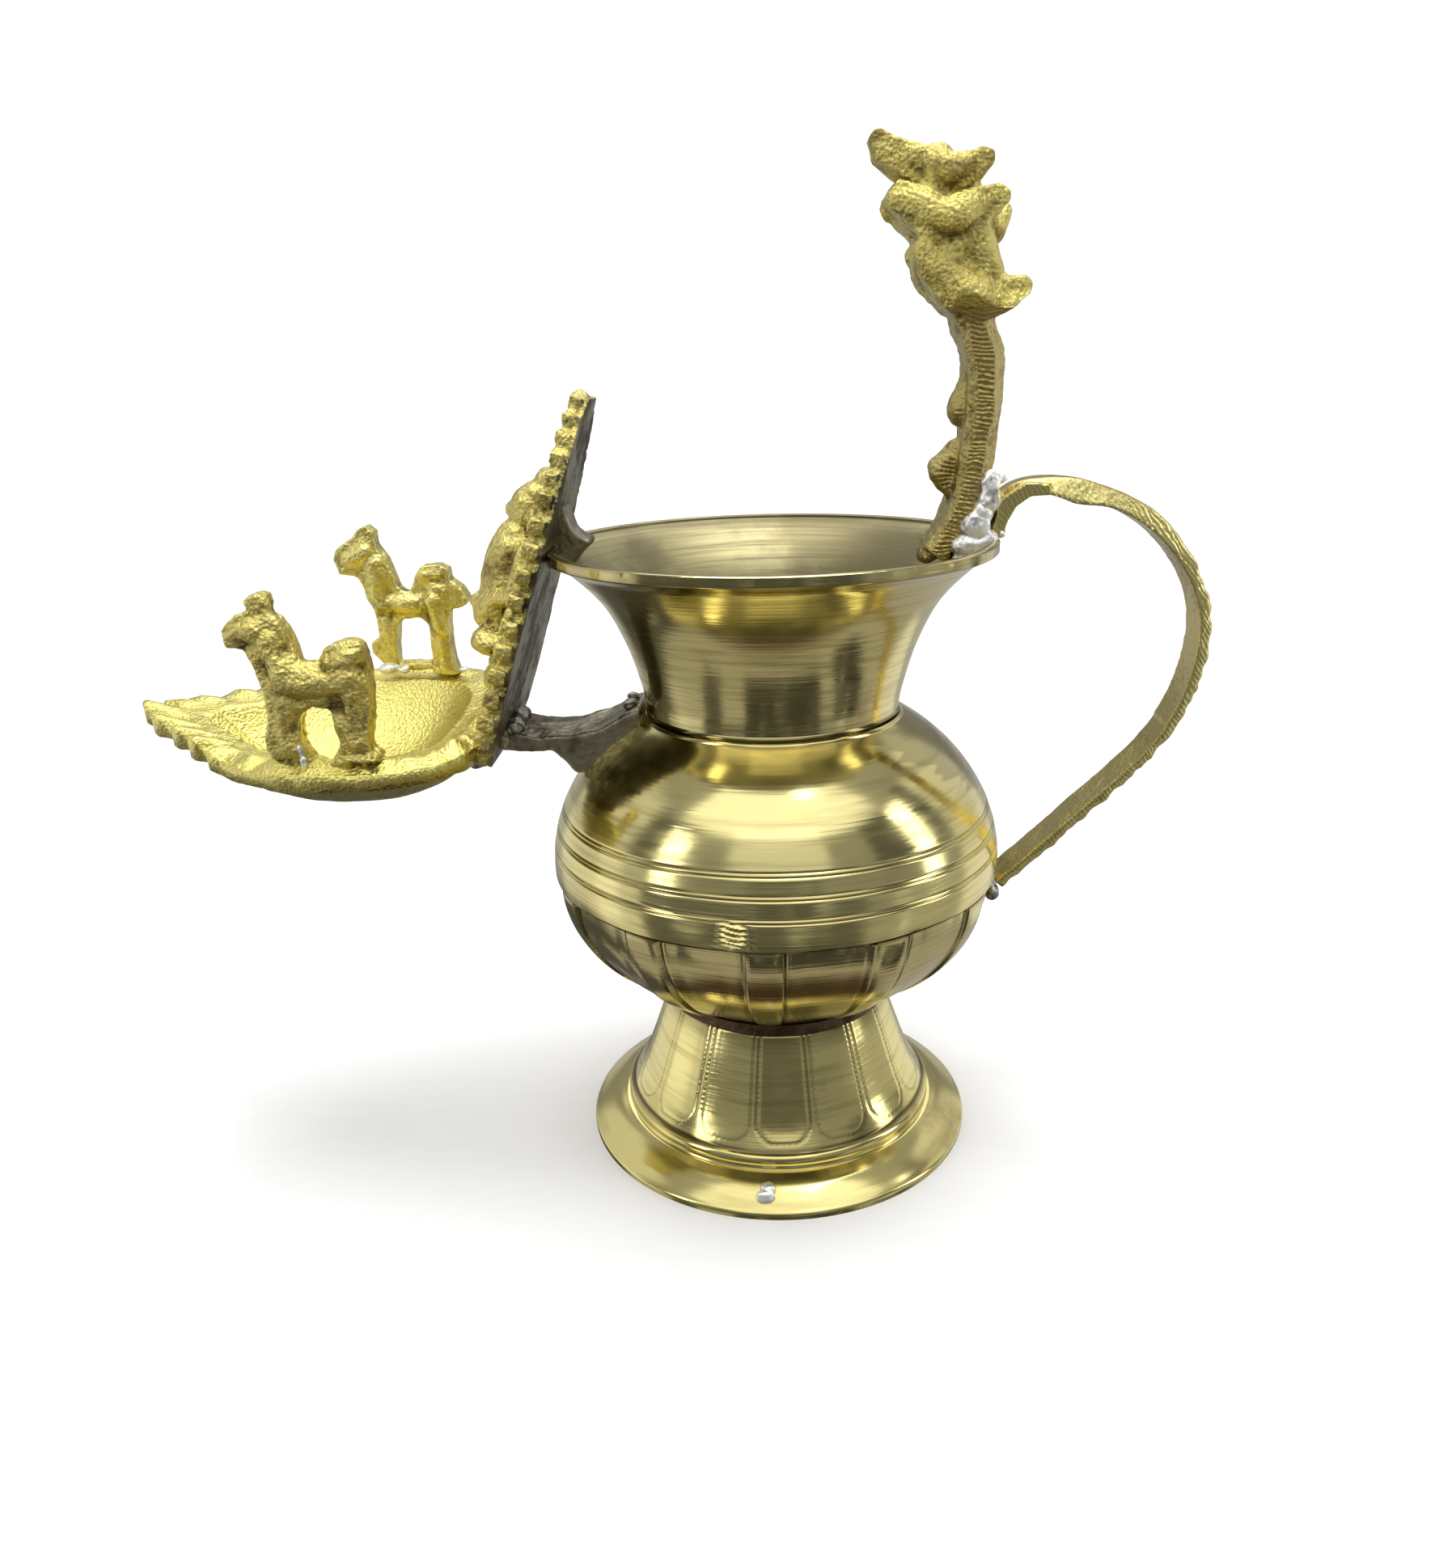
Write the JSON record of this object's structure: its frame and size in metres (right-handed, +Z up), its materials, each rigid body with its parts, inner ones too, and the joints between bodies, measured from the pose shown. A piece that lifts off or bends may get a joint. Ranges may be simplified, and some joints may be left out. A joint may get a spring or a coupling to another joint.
{
  "type": "brass oil lamp pot",
  "caption": "Brass kalash-shaped pot on a bell foot, with a strap handle, a serpent plaque, an arched back plate and a leaf-shaped lamp dish carrying small cast horses.",
  "frame": {"origin": "centre of the whole object's footprint, on the plane that the foot stands on; the pot's own turning axis stands at X = +0.02035", "axes": "+Z up, +X from the lamp dish towards the handle, +Y across the pot"},
  "size_m": [0.1974, 0.0846, 0.1804],
  "materials": {
    "turned_brass": "satin lathe-turned brass with fine turning lines, grooves and light tarnish",
    "cast_brass": "sand-cast brass, bright gold colour, grainy skin with filed edges",
    "dark_brass": "brass left dark and oxidised by the soldering flame",
    "solder": "silver-white soft solder, lumpy as it froze"
  },
  "bodies": {
    "root": {"foot": "turned_brass", "lower_bowl": "turned_brass", "upper_bowl": "turned_brass", "neck_funnel": "turned_brass", "handle_strap": "cast_brass", "serpent_plaque": "cast_brass", "back_plate": "cast_brass", "lamp_dish": "cast_brass", "near_horse": "cast_brass", "far_horse": "cast_brass", "bracket_bar": "dark_brass", "rim_lug": "dark_brass", "solder_neck_ring": "solder", "solder_belly_ring": "solder", "solder_foot_ring": "solder", "solder_plaque_root": "solder", "solder_plaque_handle": "solder", "solder_handle_rim": "solder", "solder_handle_belly": "solder", "solder_bracket_neck": "solder", "solder_bracket_plate": "solder", "solder_dish_plate": "solder", "solder_near_horse": "solder", "solder_far_horse_front": "solder", "solder_far_horse_rear": "solder", "foot_plug": "solder"}
  },
  "joints": []
}
